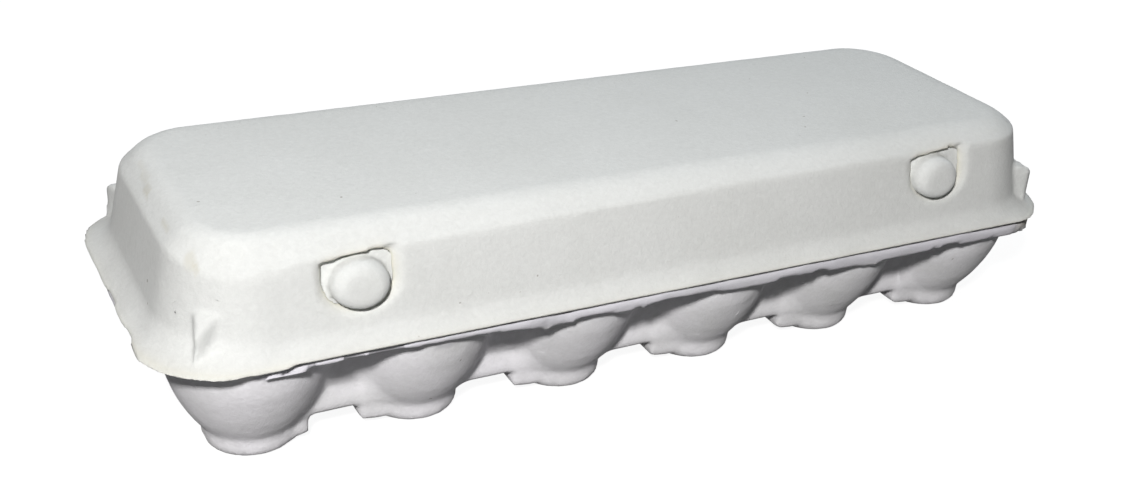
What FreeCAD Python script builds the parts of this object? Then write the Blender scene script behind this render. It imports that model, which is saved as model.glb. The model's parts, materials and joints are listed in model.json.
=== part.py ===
"""Egg box for a dozen eggs in moulded paper pulp: cup tray, hinged lid and lock flap.

Millimetres. +X runs along the length, -Y is the front with the two locks, +Z is up.
The origin is on the ground under the middle of the box. The lid is shut.
"""
import FreeCAD, Part
import math
import os
import re
import sys
import Sketcher

# ------------------------------------------------------------------ driving dimensions
SIZES = [
    # name, value, what it is
    ("cup_columns", 6, "cups along the length"),
    ("cup_rows", 2, "cups across the width"),
    ("cup_pitch", 47.5, "from cup to cup along the length"),
    ("row_pitch", 48.6, "from row to row"),
    ("tray_wall", 1.8, "pulp thickness of the tray"),
    ("part_level", 37.5, "height of the plane where lid and tray meet"),
    ("foot_flat_radius", 11.0, "flat disc that each cup stands on"),
    ("foot_radius", 13.2, "collar of the foot"),
    ("foot_round_rise", 2.4, "height of the rounded edge under the collar"),
    ("foot_rise", 5.2, "height of the collar's top"),
    ("bowl_radius", 23.6, "outside of the bowl at the part level"),
    ("bowl_fullness", 2.6, "how early the bowl's side swells out: 1 is a straight cone"),
    ("valley_floor", 7.0, "underside of the low valley between two cups of a row"),
    ("valley_floor_half", 10.8, "half its width at the floor"),
    ("valley_face_rise", 9.5, "height of the upright faces beside its floor"),
    ("lobe_reach", 17.2, "how far a foot runs out under the valley"),
    ("lobe_half", 5.0, "half the width of that lobe"),
    ("lobe_level", 0.8, "underside of the lobe"),
    ("post_root_radius", 8.5, "cone post between four cups, at the part level"),
    ("post_tip_radius", 5.5, "cone post at its top"),
    ("post_ledge", 0.3, "level strip between a post's foot and the valleys beside it"),
    ("post_gap", 8.7, "clear height between the posts' tops and the inside of the lid"),
    ("lid_wall", 1.8, "pulp thickness of the lid"),
    ("end_margin", 7.65, "from the last bowl's side out to the lid's edge at the ends"),
    ("side_margin", 6.6, "from a bowl's side out to the lid's edge along the long sides"),
    ("lid_edge_corner", 23.0, "corner radius of the flange"),
    ("flange_rise", 6.5, "from the flange's edge up to the foot of the wall"),
    ("flange_reach_side", 4.6, "how far the flange stands out along the long sides"),
    ("flange_reach_end", 6.1, "how far the flange stands out at the ends"),
    ("lid_foot_corner", 25.6, "corner radius at the foot of the wall"),
    ("lid_draft", 11.6, "lean of the lid's walls in degrees"),
    ("lid_rise", 31.0, "from the part level to the top"),
    ("shoulder_radius", 6.5, "rounding between the walls and the top"),
    ("lug_rise", 12.6, "top of the corner lugs above the part level"),
    ("lug_radius", 9.5, "circumradius of a lug's three-sided plan"),
    ("lug_stand_out", 5.0, "from the corner's wall foot out to the lug's edge"),
    ("lock_inset", 22.4, "from where the lid's corner starts in to the lock's centre"),
    ("lock_shift", 2.0, "how far both locks sit to the right of that"),
    ("lock_drop", 11.2, "from the lid's top down to the lock's centre"),
    ("hole_radius", 10.4, "round part of a lock hole"),
    ("hole_flat_rise", 4.6, "from the centre up to the hole's straight top edge"),
    ("button_gap", 1.7, "clear ring between button and hole"),
    ("button_flat_gap", 0.5, "clear space under the hole's straight edge"),
    ("button_stand_out", 4.0, "how far a button bulges past the lid's wall"),
    ("flap_wall", 1.6, "pulp thickness of the lock flap"),
    ("flap_gap", 0.3, "clear space between the flap and the lid's wall"),
    ("flap_end_gap", 6.3, "from where the lid's corner starts in to the flap's end"),
    ("flap_top_gap", 0.4, "from the flap's top to where the shoulder starts inside"),
    ("rim_step", 0.8, "how far the tray's rim stays inside the lid's edge"),
    ("hinge_end_gap", 5.0, "from where the flange's corner starts in to the fold's end"),
    ("hinge_strip_width", 4.0, "tray rim that runs out to the fold"),
]

# The flare from the wall's foot (0) down to the flange's edge (1): share of the drop, share
# of the reach, and how far the surface's outward normal is tipped up there, in degrees.
FLARE = ((1.0, 1.0, 45.0), (0.75, 0.61, 43.0), (0.43, 0.26, 30.0), (0.0, 0.0, 17.0))
# Rounds drawn as straight steps: the lid's shoulder, a foot's lower edge and a button's
# crown, in degrees of the turn, and a bowl's side, in shares of its height.
SHOULDER = (0, 30, 60, 90)
FOOT_STEPS = (0, 90)
BUTTON_STEPS = (0, 40, 70)
BOWL_STEPS = (0, 0.2, 0.55, 1)

doc = FreeCAD.newDocument("egg_box")
sheet = doc.addObject("Spreadsheet::Sheet", "Sizes")
for row, (name, number, meaning) in enumerate(SIZES, start=1):
    sheet.set(f"A{row}", name)
    sheet.set(f"B{row}", str(number))
    sheet.set(f"C{row}", meaning)
    sheet.setAlias(f"B{row}", name)
doc.recompute()


# ------------------------------------------------------------------ helpers
def cells(text):
    """Turns sheet names in a formula into references. Every sheet name has an underscore."""
    return re.sub(r"\b([a-z]+(?:_[a-z]+)+)\b", r"Sizes.\1", text)


def number(text):
    """The value of a formula now, used to draw a sketch near its final form."""
    found = sheet.evalExpression(cells(text))
    return float(getattr(found, "Value", found))


def bind(thing, **formulas):
    """Ties properties to formulas; a double underscore stands for a dot in the name."""
    for key, text in formulas.items():
        thing.setExpression(key.replace("__", "."), cells(text))


def plane_of(body, role):
    return next(f for f in body.Origin.OriginFeatures if f.Role == role)


def attach(thing, body, role, **offset):
    """Sets a sketch or primitive on one of the body's own planes, moved by formulas."""
    thing.AttachmentSupport = [(plane_of(body, role), "")]
    thing.MapMode = "FlatFace"
    for axis, text in offset.items():
        thing.setExpression(f"AttachmentOffset.Base.{axis}", cells(text))


def sketch_on(body, role, name, **offset):
    sketch = body.newObject("Sketcher::SketchObject", name)
    attach(sketch, body, role, **offset)
    return sketch


def draw(sketch, corners):
    """Adds one closed outline. A corner is (x, y) or (x, y, radius, side), as formulas: the
    edge that leaves it is a line, or an arc whose centre lies on its left (+1) or right (-1)."""
    first = sketch.GeometryCount
    points = [FreeCAD.Vector(number(c[0]), number(c[1]), 0) for c in corners]
    ends = []
    for index, corner in enumerate(corners):
        a, b = points[index], points[(index + 1) % len(points)]
        if len(corner) == 2:
            sketch.addGeometry(Part.LineSegment(a, b), False)
            ends.append((1, 2))
            continue
        radius, side = number(corner[2]), corner[3]
        chord = b - a
        left = FreeCAD.Vector(-chord.y, chord.x, 0).normalize()
        rise = math.sqrt(max(radius**2 - (chord.Length / 2) ** 2, 0))
        centre = (a + b) * 0.5 + left * rise * side
        from_a = math.atan2(a.y - centre.y, a.x - centre.x)
        from_b = math.atan2(b.y - centre.y, b.x - centre.x)
        circle = Part.Circle(centre, FreeCAD.Vector(0, 0, 1), radius)
        start, stop = (from_a, from_b) if side > 0 else (from_b, from_a)
        sketch.addGeometry(Part.ArcOfCircle(circle, start, stop), False)
        ends.append((1, 2) if side > 0 else (2, 1))
    for index, corner in enumerate(corners):
        following = (index + 1) % len(corners)
        this, after = first + index, first + following
        sketch.addConstraint(
            Sketcher.Constraint("Coincident", this, ends[index][1], after, ends[following][0]))
        for kind, text in (("DistanceX", corner[0]), ("DistanceY", corner[1])):
            value = number(text)
            rule = Sketcher.Constraint(kind, -1, 1, this, ends[index][0], value)
            position = sketch.addConstraint(rule)
            sketch.setExpression(f"Constraints[{position}]", cells(text))
        if len(corner) > 2:
            rule = Sketcher.Constraint("Radius", this, number(corner[2]))
            position = sketch.addConstraint(rule)
            sketch.setExpression(f"Constraints[{position}]", cells(corner[2]))


def rounded_rectangle(half_x, half_y, radius):
    """Corners of a rounded rectangle about the origin, as formulas."""
    outline = []
    for sx, sy, arc_first in ((1, -1, True), (1, 1, False), (-1, 1, True), (-1, -1, False)):
        along_x = (f"{sx} * ({half_x} - ({radius}))", f"{sy} * ({half_y})")
        along_y = (f"{sx} * ({half_x})", f"{sy} * ({half_y} - ({radius}))")
        start, stop = (along_x, along_y) if arc_first else (along_y, along_x)
        outline += [(*start, radius, 1), stop]
    return outline


def feature(body, kind, name, profile=None, **settings):
    made = body.newObject(f"PartDesign::{kind}", name)
    if profile is not None:
        made.Profile = profile
        profile.Visibility = False
    for key, value in settings.items():
        setattr(made, key, value)
    body.Tip = made
    return made


def repeat(body, name, original, columns=None, rows=None):
    """Repeats a feature from the first cup along the length, over the rows, or both ways."""
    made = feature(body, "LinearPattern", name, Originals=[original])
    runs = [run for run in (("X_Axis", columns, "cup_pitch"), ("Y_Axis", rows, "row_pitch"))
            if run[1]]
    for suffix, (axis, count, pitch) in zip(("", "2"), runs):
        setattr(made, f"Direction{suffix}", (plane_of(body, axis), [""]))
        bind(made, **{f"Occurrences{suffix}": count, f"Length{suffix}": f"({count} - 1) * {pitch}"})
    return made


COLUMNS, ROWS = "cup_columns", "cup_rows"
GAPS = "(cup_columns - 1)"
FIRST_COLUMN = "-(cup_columns - 1) * cup_pitch / 2"
FIRST_ROW = "-(cup_rows - 1) * row_pitch / 2"
EDGE_HALF_LENGTH = "((cup_columns - 1) * cup_pitch / 2 + bowl_radius + end_margin)"
EDGE_HALF_WIDTH = "((cup_rows - 1) * row_pitch / 2 + bowl_radius + side_margin)"
FOOT_HALF_LENGTH = f"({EDGE_HALF_LENGTH} - flange_reach_end)"
FOOT_HALF_WIDTH = f"({EDGE_HALF_WIDTH} - flange_reach_side)"
POST_TOP = "(part_level + lid_rise - lid_wall - post_gap)"
CORNER_START = f"({FOOT_HALF_LENGTH} - lid_foot_corner)"
LOCK_PLACES = (("left", f"(lock_shift - ({CORNER_START} - lock_inset))"),
               ("right", f"(lock_shift + ({CORNER_START} - lock_inset))"))
LOCK_LEVEL = "(part_level + lid_rise - lock_drop)"


# ------------------------------------------------------------------ tray
def cup_section(sketch, wall):
    """Half of a cup's section about its axis; wall is 0 for the outside of the pulp."""
    foot_up = f"(foot_round_rise - {wall} / 2)"
    outline = [("0", wall)]
    for degrees in FOOT_STEPS:
        outline.append((
            f"foot_flat_radius + (foot_radius - foot_flat_radius) * sin({degrees} deg) - {wall}",
            f"{wall} + {foot_up} * (1 - cos({degrees} deg))",
        ))
    for share in BOWL_STEPS:
        swell = f"(1 - {1 - share}^bowl_fullness)"
        outline.append((
            f"foot_radius + (bowl_radius - foot_radius) * {swell} - {wall}",
            f"foot_rise + (part_level - foot_rise) * {share}",
        ))
    draw(sketch, outline + [("0", "part_level")])


def valley_section(sketch, wall):
    """Section of the valley that joins the cups of one row."""
    floor_half = f"(valley_floor_half - {wall})"
    top_half = f"(row_pitch / 2 - post_root_radius - post_ledge + tray_wall - {wall})"
    floor, waist = f"valley_floor + {wall}", "valley_floor + valley_face_rise"
    draw(sketch, [
        (f"-{floor_half}", floor), (floor_half, floor), (floor_half, waist),
        (top_half, "part_level"), (f"-{top_half}", "part_level"), (f"-{floor_half}", waist),
    ])


def make_tray():
    body = doc.addObject("PartDesign::Body", "tray")
    half_length = f"({EDGE_HALF_LENGTH} - rim_step)"
    half_width = f"({EDGE_HALF_WIDTH} - rim_step)"

    rim = sketch_on(body, "XY_Plane", "rim_outline", z="part_level - tray_wall")
    draw(rim, rounded_rectangle(half_length, half_width, "(lid_edge_corner - rim_step)"))
    bind(feature(body, "Pad", "rim", rim), Length="tray_wall")

    strip = sketch_on(body, "XY_Plane", "hinge_strip_outline", z="part_level - tray_wall")
    back, front = EDGE_HALF_WIDTH, f"{EDGE_HALF_WIDTH} - hinge_strip_width"
    reach = f"({EDGE_HALF_LENGTH} - lid_edge_corner - hinge_end_gap)"
    draw(strip, [(f"-{reach}", front), (reach, front), (reach, back), (f"-{reach}", back)])
    bind(feature(body, "Pad", "hinge_strip", strip), Length="tray_wall")

    cup = sketch_on(body, "XZ_Plane", "cup_outside", x=FIRST_COLUMN, z=f"-({FIRST_ROW})")
    cup_section(cup, "0")
    one_cup = feature(body, "Revolution", "cup", cup, ReferenceAxis=(cup, ["V_Axis"]))
    repeat(body, "cups", one_cup, COLUMNS, ROWS)

    valley = sketch_on(body, "YZ_Plane", "valley_outside", x=FIRST_ROW, z=FIRST_COLUMN)
    valley_section(valley, "0")
    one_valley = feature(body, "Pad", "valley", valley)
    bind(one_valley, Length="(cup_columns - 1) * cup_pitch")
    repeat(body, "valleys", one_valley, rows=ROWS)

    lobe = sketch_on(body, "XY_Plane", "lobe_outline", x=FIRST_COLUMN, y=FIRST_ROW, z="lobe_level")
    for near, far in (("0", "lobe_reach"), ("cup_pitch - lobe_reach", "cup_pitch")):
        draw(lobe, [(near, "-lobe_half"), (far, "-lobe_half"), (far, "lobe_half"),
                    (near, "lobe_half")])
    one_lobe = feature(body, "Pad", "lobe", lobe)
    bind(one_lobe, Length="valley_floor + tray_wall / 2 - lobe_level")
    repeat(body, "lobes", one_lobe, GAPS, ROWS)

    post = feature(body, "AdditiveCone", "post")
    attach(post, body, "XY_Plane", x=f"{FIRST_COLUMN} + cup_pitch / 2",
           z="part_level - tray_wall")
    bind(post, Radius1="post_root_radius", Radius2="post_tip_radius",
         Height=f"{POST_TOP} - part_level + tray_wall")
    repeat(body, "posts", post, GAPS)

    hollow = sketch_on(body, "XZ_Plane", "cup_inside", x=FIRST_COLUMN, z=f"-({FIRST_ROW})")
    cup_section(hollow, "tray_wall")
    one_hollow = feature(body, "Groove", "cup_hollow", hollow, ReferenceAxis=(hollow, ["V_Axis"]))
    repeat(body, "cup_hollows", one_hollow, COLUMNS, ROWS)

    trough = sketch_on(body, "YZ_Plane", "valley_inside", x=FIRST_ROW, z=FIRST_COLUMN)
    valley_section(trough, "tray_wall")
    one_trough = feature(body, "Pocket", "valley_hollow", trough, Reversed=True)
    bind(one_trough, Length="(cup_columns - 1) * cup_pitch")
    repeat(body, "valley_hollows", one_trough, rows=ROWS)

    core = feature(body, "SubtractiveCone", "post_hollow")
    attach(core, body, "XY_Plane", x=f"{FIRST_COLUMN} + cup_pitch / 2",
           z="part_level - 2 * tray_wall")
    bind(core, Radius1="post_root_radius - tray_wall / 2", Radius2="post_tip_radius - tray_wall",
         Height=f"{POST_TOP} - part_level + tray_wall")
    repeat(body, "post_hollows", core, GAPS)
    return body


# ------------------------------------------------------------------ lid
def wall_inset(rise):
    """How far the drafted wall has leaned in at a height above the part level."""
    return f"(({rise} - flange_rise) * tan(lid_draft * 1 deg))"


def lid_levels(wall):
    """Rings of the lid from the flange's edge to the top: (rise above the part level, half
    length, half width, corner radius). wall is 0 outside and the pulp's thickness inside."""
    rings = []
    for drop, reach, tip in FLARE:
        inward = f"{wall} * cos({tip} deg)"
        rise = f"(flange_rise * {1 - drop} - {wall} * sin({tip} deg))"
        if drop == 1.0:
            # the sloping sheet is cut off level at the part plane
            inward, rise = f"{wall} * 1.5", "0"
        rings.append((
            rise,
            f"({FOOT_HALF_LENGTH} + flange_reach_end * {reach} - {inward})",
            f"({FOOT_HALF_WIDTH} + flange_reach_side * {reach} - {inward})",
            f"(lid_foot_corner + (lid_edge_corner - lid_foot_corner) * {reach} - {inward})",
        ))
    shoulder_start = "(lid_rise - shoulder_radius)"
    for degrees in SHOULDER:
        turned = f"(shoulder_radius - {wall})"
        rise = f"({shoulder_start} + {turned} * sin({degrees} deg))"
        inset = (f"({wall_inset(shoulder_start)} + {wall}"
                 f" + {turned} * (1 - cos({degrees} deg)))")
        rings.append((
            rise,
            f"({FOOT_HALF_LENGTH} - {inset})",
            f"({FOOT_HALF_WIDTH} - {inset})",
            f"(lid_foot_corner - {inset})",
        ))
    return rings


def lid_loft(body, kind, name, wall):
    sections = []
    for index, (rise, half_x, half_y, radius) in enumerate(lid_levels(wall)):
        ring = sketch_on(body, "XY_Plane", f"{name}_ring_{index}", z=f"part_level + {rise}")
        draw(ring, rounded_rectangle(half_x, half_y, radius))
        sections.append(ring)
    return feature(body, kind, name, sections[0], Sections=sections[1:], Ruled=True)


def corner_lugs(body, kind, name, shrink, drop):
    """Three-sided lugs that stand on the flange at the four corners."""
    tip = "(lid_foot_corner + lug_stand_out - lug_radius)"
    for index, (sx, sy, degrees) in enumerate(
            ((1, 1, 45), (-1, 1, 135), (-1, -1, 225), (1, -1, 315))):
        lug = feature(body, kind, f"{name}_{index}", Polygon=3)
        across = f"({tip} * cos(45 deg))"
        attach(lug, body, "XY_Plane",
               x=f"{sx} * ({FOOT_HALF_LENGTH} - lid_foot_corner + {across})",
               y=f"{sy} * ({FOOT_HALF_WIDTH} - lid_foot_corner + {across})",
               z="part_level + flange_rise / 4")
        turn = FreeCAD.Rotation(FreeCAD.Vector(0, 0, 1), degrees)
        lug.AttachmentOffset = FreeCAD.Placement(lug.AttachmentOffset.Base, turn)
        bind(lug, Circumradius=f"lug_radius - {shrink}",
             Height=f"lug_rise - flange_rise / 4 - {drop}")


def make_lid():
    body = doc.addObject("PartDesign::Body", "lid")
    lid_loft(body, "AdditiveLoft", "cover", "0")
    corner_lugs(body, "AdditivePrism", "lug", "0", "0")
    lid_loft(body, "SubtractiveLoft", "cover_hollow", "lid_wall")
    corner_lugs(body, "SubtractivePrism", "lug_hollow", "2 * lid_wall", "lid_wall")

    half_flat = "sqrt(hole_radius^2 - hole_flat_rise^2)"
    for side, middle in LOCK_PLACES:
        # a circle with a straight cut near its top
        outline = sketch_on(body, "XZ_Plane", f"{side}_hole_outline", z=f"{EDGE_HALF_WIDTH} / 2")
        draw(outline, [
            (f"{middle} + {half_flat}", f"{LOCK_LEVEL} + hole_flat_rise"),
            (f"{middle} - {half_flat}", f"{LOCK_LEVEL} + hole_flat_rise", "hole_radius", 1),
            (middle, f"{LOCK_LEVEL} - hole_radius", "hole_radius", 1),
        ])
        hole = feature(body, "Pocket", f"{side}_hole", outline, Reversed=True)
        bind(hole, Length=EDGE_HALF_WIDTH)
    return body


# ------------------------------------------------------------------ lock flap
def flap_face(rise):
    """Y of the flap's front face at a height above the part level."""
    return f"(-{FOOT_HALF_WIDTH} + {wall_inset(rise)} + lid_wall / cos(lid_draft * 1 deg) + flap_gap)"


def make_lock_flap():
    body = doc.addObject("PartDesign::Body", "lock_flap")
    top = "(lid_rise - shoulder_radius - flap_top_gap)"
    sheet_section = sketch_on(body, "YZ_Plane", "flap_section")
    draw(sheet_section, [
        (flap_face("0"), "part_level"),
        (f"{flap_face('0')} + flap_wall", "part_level"),
        (f"{flap_face(top)} + flap_wall", f"part_level + {top}"),
        (flap_face(top), f"part_level + {top}"),
    ])
    plate = feature(body, "Pad", "flap", sheet_section, Midplane=True)
    bind(plate, Length=f"2 * ({CORNER_START} - flap_end_gap)")

    centre = f"({LOCK_LEVEL} - part_level)"
    springing = f"({flap_face(centre)} + flap_wall / 2)"
    tip = f"(-{FOOT_HALF_WIDTH} + {wall_inset(centre)} - button_stand_out)"
    radius = "(hole_radius - button_gap)"
    flat = "(hole_flat_rise - button_flat_gap)"
    # the hollow is round and stays one wall below the button's flat top
    domes = (
        ("Revolution", "button", radius, LOCK_LEVEL, springing, tip),
        ("Groove", "hollow", f"(({radius} + {flat}) / 2 - flap_wall)",
         f"{LOCK_LEVEL} + ({flat} - {radius}) / 2", f"({springing} + flap_wall)",
         f"({tip} + flap_wall)"),
    )
    for side, middle in LOCK_PLACES:
        for kind, name, half, level, base, crown in domes:
            # the dome springs from inside the sheet and ends in a round crown
            dome = sketch_on(body, "XY_Plane", f"{side}_{name}_section",
                             x=middle, z=level)
            steps = [(f"{half} * cos({degrees} deg)",
                      f"{base} - ({base} - {crown}) * sin({degrees} deg)")
                     for degrees in BUTTON_STEPS]
            draw(dome, [("0", base), *steps, ("0", crown)])
            feature(body, kind, f"{side}_{name}", dome, ReferenceAxis=(dome, ["V_Axis"]))
        ledge = sketch_on(body, "XZ_Plane", f"{side}_ledge_outline", z=f"-{springing}")
        low, high = f"{LOCK_LEVEL} + {flat}", f"{LOCK_LEVEL} + hole_radius"
        left, right = f"{middle} - hole_radius", f"{middle} + hole_radius"
        draw(ledge, [(left, low), (right, low), (right, high), (left, high)])
        cut = feature(body, "Pocket", f"{side}_ledge", ledge, Reversed=True)
        bind(cut, Length=f"{EDGE_HALF_WIDTH} / 2")
    return body


# ------------------------------------------------------------------ build and write
pieces = [make_tray(), make_lid(), make_lock_flap()]
doc.recompute()

for thing in doc.Objects:
    if "Invalid" in thing.State or "Error" in thing.State:
        sys.exit(f"{thing.Name} failed: {thing.State}")
os.makedirs("parts", exist_ok=True)
for piece in pieces:
    shape = piece.Shape
    if shape.isNull() or not shape.isValid() or len(shape.Solids) != 1:
        sys.exit(f"{piece.Label} is not one valid solid")
for piece in pieces:
    piece.Shape.exportStep(f"parts/{piece.Label}.step")
    box = piece.Shape.BoundBox
    print(f"{piece.Label}: {piece.Shape.Volume:.0f} mm3,"
          f" X {box.XMin:.2f}..{box.XMax:.2f}, Y {box.YMin:.2f}..{box.YMax:.2f},"
          f" Z {box.ZMin:.2f}..{box.ZMax:.2f}")
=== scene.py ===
"""Moulded pulp egg box for a dozen eggs: its looks and its stage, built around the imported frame.

Metres, in the frame's own axes: +X along the length, -Y the front with the two locks, +Z up.
"""
import json
import math

import bpy
import numpy as np
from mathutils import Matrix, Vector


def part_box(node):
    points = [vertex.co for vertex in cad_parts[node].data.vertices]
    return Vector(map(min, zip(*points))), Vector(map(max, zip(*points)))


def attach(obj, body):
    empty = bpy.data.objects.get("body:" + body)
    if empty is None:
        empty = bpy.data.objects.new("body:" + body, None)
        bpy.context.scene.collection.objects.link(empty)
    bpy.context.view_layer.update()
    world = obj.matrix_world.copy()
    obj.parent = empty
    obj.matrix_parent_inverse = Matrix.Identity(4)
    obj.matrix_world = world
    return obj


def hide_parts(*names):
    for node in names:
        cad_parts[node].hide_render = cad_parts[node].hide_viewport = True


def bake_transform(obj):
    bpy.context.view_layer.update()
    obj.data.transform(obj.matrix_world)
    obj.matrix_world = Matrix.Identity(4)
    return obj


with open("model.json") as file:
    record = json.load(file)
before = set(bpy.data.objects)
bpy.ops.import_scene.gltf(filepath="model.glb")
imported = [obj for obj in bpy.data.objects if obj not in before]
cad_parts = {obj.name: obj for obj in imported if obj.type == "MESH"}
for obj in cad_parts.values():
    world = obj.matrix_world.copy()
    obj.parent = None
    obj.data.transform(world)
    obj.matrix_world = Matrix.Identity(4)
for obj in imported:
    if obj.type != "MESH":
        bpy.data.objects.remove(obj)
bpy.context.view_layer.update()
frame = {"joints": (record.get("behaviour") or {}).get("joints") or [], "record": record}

import openvdb
from bpy.props import FloatProperty, FloatVectorProperty, IntProperty, PointerProperty
from bpy.types import NodeSocket, Operator, Panel, PropertyGroup
from mathutils import Matrix, Vector

bl_info = {
    "name": "Moulded Pulp Egg Box",
    "version": (1, 0, 0),
    "blender": (4, 5, 0),
    "location": "3D Viewport > Sidebar > Egg Box",
    "description": "Builds a moulded pulp egg box: cup tray, hinged lid, lock flap, fold and stage",
    "category": "Object",
}

MM = 0.001

# Places that the frame settles
LID_LOW, LID_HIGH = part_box("lid")
TRAY_LOW, TRAY_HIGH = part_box("tray")
FLAP_LOW, FLAP_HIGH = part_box("lock_flap")
HINGE = Vector(frame["joints"][0]["pos_m"])
PART_LEVEL = LID_LOW.z
CUP_AXES = np.array([np.mean(cup["box_m"], axis=0) for cup in frame["record"]["physics"]["openings"]])
COLUMNS = np.unique(CUP_AXES[:, 0].round(6))
ROWS = np.unique(CUP_AXES[:, 1].round(6))
POSTS = (COLUMNS[1:] + COLUMNS[:-1]) / 2
CREASE_HALF = LID_HIGH.x - 28 * MM


# ------------------------------------------------------------------ settings
def length(name, description, millimetres):
    """A length that a user types in scene units; its default is given in millimetres."""
    return FloatProperty(name=name, description=description, default=millimetres * MM,
                         unit="LENGTH", precision=4)


def angle(name, description, degrees):
    return FloatProperty(name=name, description=description, default=math.radians(degrees),
                         subtype="ANGLE")


def point(name, description, metres):
    """A point in the frame's own axes."""
    return FloatVectorProperty(name=name, description=description, default=metres,
                               subtype="TRANSLATION", precision=4)


def watts(name, description, power):
    return FloatProperty(name=name, description=description, default=power, min=0, subtype="POWER")


def linear(hex_code):
    """Linear RGB of an sRGB hex colour."""
    parts = [int(hex_code[i:i + 2], 16) / 255 for i in (0, 2, 4)]
    return tuple(p / 12.92 if p <= 0.04045 else ((p + 0.055) / 1.055) ** 2.4 for p in parts)


def colour(name, description, hex_code):
    return FloatVectorProperty(name=name, description=description, default=linear(hex_code),
                               subtype="COLOR", size=3, min=0.0, max=1.0)


class TraySizes(PropertyGroup):
    wall: length("Wall", "Pulp thickness of the tray", 2.1)
    foot_radius: length("Foot radius", "Upright collar that each cup stands on", 13.5)
    collar: length("Collar", "How far the foot stands out from the bowl that rises out of it", 0.8)
    foot_rise: length("Foot rise", "Height where the collar ends and the bowl begins", 5.2)
    foot_round: length("Foot rounding", "Radius of the foot's lower edge", 3.0)
    bowl_radius: length("Bowl radius", "Outside of a bowl at the part level", 23.6)
    bulge: FloatProperty(name="Bowl bulge", default=0.12, min=0.0,
                         description="How much further a bowl swells on the long outer side")
    fullness: FloatProperty(name="Bowl fullness", default=2.6, min=1.0,
                            description="How early the bowl's side swells out: 1 is a cone")
    valley_floor: length("Valley floor", "Underside of the valley that joins a row's cups", 8.2)
    valley_low: length("Valley, low", "Half the valley's width at its floor", 10.8)
    valley_face: length("Valley face", "Height of the upright faces beside its floor", 8.3)
    valley_high: length("Valley, high", "Half the valley's width at the part level", 17.3)
    lobe_reach: length("Lobe reach", "How far a foot runs out to the left under the valley", 19.2)
    lobe_right: length("Lobe reach, right", "How far it runs out to the right", 6.0)
    lobe_half: length("Lobe half width", "Half the width of that lobe", 10.7)
    lobe_level: length("Lobe level", "Underside of the lobe, at the foot", 2.3)
    post_root: length("Post root", "Radius of a cone post at the part level", 8.5)
    post_tip: length("Post tip", "Radius of a cone post at its top", 5.5)
    rim_inset: length("Rim inset", "How far the rim's cut edge stays inside the lid's", 0.8)
    rim_corner: length("Rim corner", "Corner radius of the rim", 22.2)
    rim_ripple: length("Rim ripple", "How far the thin rim sags between its supports", 0.7)
    droop: length("Drooping corner", "How far the front right corner of the rim hangs down", 5.0)
    fold_drop: length("Fold drop", "How far the folded front edge hangs below the part level", 4.1)
    fold_growth: length("Fold growth", "How much further it hangs towards the right", 1.2)
    fold_wall: length("Fold thickness", "Thickness of the hanging fold", 1.7)


class LidSizes(PropertyGroup):
    wall: length("Wall", "Pulp thickness of the lid", 1.8)
    flange_rise: length("Flange rise", "From the flange's edge up to the foot of the wall", 6.5)
    flange_side: length("Flange, sides", "How far the flange stands out on the long sides", 4.6)
    flange_end: length("Flange, ends", "How far the flange stands out at the ends", 6.1)
    lip: length("Lip", "How far the blunt edge spreads past that", 1.1)
    edge_corner: length("Edge corner", "Corner radius of the flange's edge", 23.0)
    foot_corner: length("Wall corner", "Corner radius at the foot of the wall", 25.6)
    draft: angle("Draft", "Lean of the lid's walls", 11.6)
    cover_shift: length("Cover shift", "How far the cover sits to the right of its flange", 0.5)
    shoulder_fall: length("Shoulder fall", "From the top down to the shoulder's lower crease", 6.1)
    shoulder_lift: length("Shoulder lift", "How much higher the crease runs at the right", 1.7)
    shoulder_dip: length("Shoulder dip", "How far the crease dips at the front left", 2.2)
    shoulder_run: length("Shoulder run", "From the walls in to the shoulder's upper edge", 5.0)
    lug_rise: length("Lug rise", "Top of a corner lug at the wall, above the part level", 15.0)
    lug_out: length("Lug stand-out", "From the wall's foot out to a lug's upright edge", 4.6)
    lug_fall: FloatProperty(name="Lug fall", default=0.3,
                            description="Slope of a lug's top, outwards and down")
    crushed_rise: length("Crushed lug rise", "The same rise on the front left lug", 13.0)
    crushed_fall: FloatProperty(name="Crushed lug fall", default=1.2,
                                description="The same slope on the front left lug, which is crushed")
    crushed_turn: length("Crushed lug turn", "How far that lug is pushed round to the front", 2.8)
    rear_lug: length("Rear lugs", "How much lower and further out the rear lugs are", 2.0)
    corner_sag: length("Corner sag", "How far the flange hangs down at the front left", 0.8)
    edge_wave: length("Edge wave", "How far the flange's lower edge waves up and down", 0.4)
    sink_depth: length("Hole sink", "How deep the wall is pressed in round a lock hole", 1.8)
    sink_width: length("Hole sink width", "Width of that pressed band", 2.6)


class LockSizes(PropertyGroup):
    inset: length("Lock inset", "From where the lid's corner starts in to a hole's centre", 22.4)
    shift: length("Lock shift", "How far both locks sit to the right of that", 1.4)
    drop: length("Lock drop", "From the lid's top down to the left hole's centre", 14.2)
    tilt: length("Lock tilt", "How much higher the right lock sits", 1.8)
    hole_half: length("Hole half width", "From a hole's centre to its upright sides", 9.4)
    hole_low: length("Hole depth", "From the centre down to the hole's round bottom", 6.7)
    flat_rise: length("Hole flat", "From the centre up to the hole's straight top edge", 7.4)
    flat_slope: FloatProperty(name="Hole slope", default=0.09,
                              description="Slope of that straight edge, which rises to the right")
    bevel: length("Hole bevel", "From the centre up to the slanting cut at the hole's right", 10.9)
    bevel_slope: FloatProperty(name="Bevel slope", default=0.52,
                               description="How steeply that cut falls to the right")
    button_half: length("Button half width", "Half the width of a button", 8.1)
    button_rise: length("Button rise", "Half the height of a button", 6.4)
    button_slip: length("Button slip", "How far the right button sits left in its hole", 1.7)
    button_out: length("Button stand-out", "How far a button bulges past the lid's wall", 3.6)
    wall: length("Wall", "Pulp thickness of the lock flap", 1.6)
    gap: length("Gap", "Clear space between the flap and the lid's wall", 0.9)


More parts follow.
